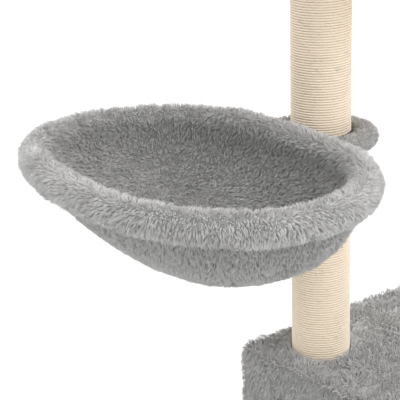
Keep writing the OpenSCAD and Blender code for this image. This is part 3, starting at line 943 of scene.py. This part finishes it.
def base_plush():
    """The base's cover, which has no cloth where the cabin's walls stand."""
    start, end = inset_box("base_cover", PILE_UNDER, PILE_UNDER)
    outer = low("cabin_cover")[:2], high("cabin_cover")[:2]
    inner = low("cabin_lining")[:2] + 0.004, high("cabin_lining")[:2] - 0.004
    bare = inside_hem("base_board")

    def has_cloth(p):
        under_walls = (p[:, 2] > end[2] - 0.004) & within(p, outer) & ~within(p, inner)
        underneath = (p[:, 2] < start[2] + 0.002) & within(p, bare)
        return ~under_walls & ~underneath

    surface = box_surface(start, end, radius=0.006, step=0.006, sides=[*WALLS, TOP, BOTTOM])
    surface = surface.where(has_cloth)
    piles = grow("base_pile", surface, PILE, length=0.0110, spacing=0.0024, width=0.0015, lean=44,
                 seed=31, keep=lambda p: p[:, 2] > start[2] + 0.007)
    stretched_cover("base_plush", "base_cover", surface)


def perch_plush():
    """The perch's cover. Its pile lies flatter on the hem underneath."""
    start, end = inset_box("perch_cover", PILE_UNDER, PILE_UNDER)
    bare = inside_hem("perch_board")

    def has_cloth(p):
        return ~((p[:, 2] < start[2] + 0.002) & within(p, bare))

    def flatter_below(p):
        return np.where(p[:, 2] < start[2] + 0.004, 66, 44)

    surface = box_surface(start, end, radius=0.006, step=0.006, sides=[*WALLS, TOP, BOTTOM])
    surface = surface.where(has_cloth).lumpy(amount=0.001, size=0.05, seed=7)
    piles = grow("perch_pile", surface, PILE, length=0.0110, spacing=0.0022, width=0.0014,
                 lean=flatter_below, seed=41)
    stretched_cover("perch_plush", "perch_cover", surface)


def door_piping():
    """The piped edge of the door: a cord in a sleeve of the same plush."""
    middle = np.array([DOOR[0], high("door_trim")[1], DOOR[2]])
    thick = high("door_trim")[1] - low("door_trim")[1]
    surface = ring_surface(middle, DOOR_R + thick, thick * 0.75)

    def out_of_the_ring(points, normals):
        away = unit((points - middle) * [1, 0, 1])
        return away * np.sign((normals * away).sum(axis=1, keepdims=True)) + np.array([0, 0.4, 0])

    grow("door_piping_pile", surface, PILE, length=0.005, spacing=0.0022, width=0.0013, lean=50,
         seed=61, comb=out_of_the_ring, keep=lambda p: p[:, 1] < middle[1] + 0.001)
    padding("door_piping", "door_trim", surface, "stand")


# ---- The bowl ----


def level_from(middle, points):
    """Level unit vectors from a middle to points."""
    return unit((points - middle) * [1, 1, 0])


def over_the_edge(middle):
    """Pile on padding that goes round a middle: it parts on top and hangs down both sides."""
    def comb(points, normals):
        away = level_from(middle, points)
        side = np.clip((normals * away).sum(axis=1, keepdims=True) / 0.3, -1, 1)
        return away * 0.7 * (side + 0.35) + np.array([0, 0, -1.0])

    return comb


def to_the_bottom(points, normals):
    """Pile in and under the bowl: down, and in a little."""
    return np.array([0, 0, -1.0]) - level_from(RIM_MIDDLE, points) * 0.3


def bowl_roll():
    """The roll on the rim. It has no pile where the lining laps over it."""
    surface = roll_surface(0.0118, 0.0143).lumpy(amount=0.0010, size=0.035, seed=13)

    def off_the_lining(points):
        out, up = from_rim(points)
        return (out > -0.009) & ((out > -0.004) | (up < -0.004))

    grow("rim_pile", surface, PILE, length=0.0085, spacing=0.0016, width=0.0010, lean=28, seed=71,
         body="bowl", comb=over_the_edge(RIM_MIDDLE), gather=0.36, keep=off_the_lining)
    padding("rim_padding", "rim_roll", surface, "bowl")


def bowl_layer(name, node, material, inset, inside, length, lean, seed):
    """One of the bowl's two cloths with its pile, inset from the bowl's face in the CAD model."""
    surface = bowl_surface(inset, inside).lumpy(amount=0.0010, size=0.045, seed=seed)
    piles = grow(f"{name}_pile", surface, material, length=length, spacing=0.0017, width=0.0010,
                 lean=lean, seed=seed, body="bowl", comb=to_the_bottom, gather=0.45)
    obj = skin(name, surface, SHEET_T)
    settle(obj, "bowl", node)


def collar():
    """The padded loop round the post, a little longer than its hoop."""
    surface = collar_surface(0.0082, COLLAR_ARC + math.radians(8))
    surface = surface.lumpy(amount=0.0005, size=0.02, seed=15)
    grow("collar_pile", surface, PILE_PAINTED_SHADE_INSIDE, length=0.0058, spacing=0.0019, width=0.0012, lean=34,
         seed=101, body="bowl", comb=over_the_edge(SWIVEL), gather=0.5)
    padding("collar_padding", "collar_cover", surface, "bowl")


roof_plush()
cabin_plush()
base_plush()
perch_plush()
cabin_inside()
door_piping()
bowl_roll()
bowl_layer("bowl_shell", "bowl_outer", PILE_PAINTED_SHADE_UNDER, -0.002, False, length=0.0075, lean=40, seed=81)
bowl_layer("bowl_inside", "bowl_lining", PILE_PAINTED_SHADE_INSIDE, 0.010, True, length=0.0080, lean=28, seed=91)
collar()

# ---- Floor, lights and camera ----


def make_floor():
    """A plain pale floor that reaches far beyond the view."""
    bpy.ops.mesh.primitive_circle_add(vertices=128, radius=30, fill_type="NGON")
    floor = bpy.context.object
    floor.name = "floor"
    paint = Paint("pale_floor", roughness=0.9)
    paint.colour(paint.ramp(paint.cloud(3), (0.3, (0.82, 0.82, 0.82)), (0.7, (0.84, 0.84, 0.84))))
    paint.shader.inputs["Specular IOR Level"].default_value = 0.0
    floor.data.materials.append(paint.material)


def soft_box(name, place, target, size, power):
    """A square lamp at a place, turned to a target."""
    light = bpy.data.lights.new(name, "AREA")
    light.size = size
    light.energy = power
    obj = bpy.data.objects.new(name, light)
    obj.location = place
    obj.rotation_euler = (Vector(target) - Vector(place)).to_track_quat("-Z", "Y").to_euler()
    bpy.context.scene.collection.objects.link(obj)


def make_world(horizon, overhead):
    """White light from all round, stronger from above."""
    world = bpy.data.worlds.new("studio")
    world.use_nodes = True
    tree = world.node_tree
    way = tree.nodes.new("ShaderNodeSeparateXYZ")
    tree.links.new(tree.nodes.new("ShaderNodeTexCoord").outputs["Generated"], way.inputs[0])
    strength = tree.nodes.new("ShaderNodeMapRange")
    strength.inputs["To Min"].default_value = horizon
    strength.inputs["To Max"].default_value = overhead
    tree.links.new(way.outputs["Z"], strength.inputs["Value"])
    background = tree.nodes["Background"]
    background.inputs["Color"].default_value = (1, 1, 1, 1)
    tree.links.new(strength.outputs["Result"], background.inputs["Strength"])
    bpy.context.scene.world = world
    bpy.context.scene.view_settings.view_transform = "Standard"


def make_camera():
    """A long lens that looks down at the bowl from the front left."""
    pitch, roll = math.radians(19.3), math.radians(-1.616)
    towards = np.array([0.6184, 0.7859, 0])
    right = np.cross(towards, [0, 0, 1])
    post_right, post_ahead = 0.1416, 1.6586  # the post's foot, as the camera sees it
    place = POST - right * post_right - towards * post_ahead
    place[2] = high("roof_cover")[2] + 0.7746  # over the cabin's roof
    ahead = towards * math.cos(pitch) - np.array([0, 0, math.sin(pitch)])
    up = np.cross(right, ahead)
    across = right * math.cos(roll) + up * math.sin(roll)
    up = up * math.cos(roll) - right * math.sin(roll)
    camera = bpy.data.cameras.new("camera")
    camera.sensor_width = 36
    camera.lens = 135
    obj = bpy.data.objects.new("camera", camera)
    axes = np.eye(4)
    axes[:3, 0], axes[:3, 1], axes[:3, 2], axes[:3, 3] = across, up, -ahead, place
    obj.matrix_world = Matrix(axes.tolist())
    bpy.context.scene.collection.objects.link(obj)
    bpy.context.scene.camera = obj


make_floor()
make_world(horizon=0.80, overhead=1.72)
soft_box("key", place=(0.65, -2.2, 2.45), target=(-0.05, 0.0, 0.5), size=1.4, power=12)
soft_box("front", place=(-0.35, -2.35, 2.7), target=(-0.15, 0.0, 0.5), size=1.6, power=15)
make_camera()
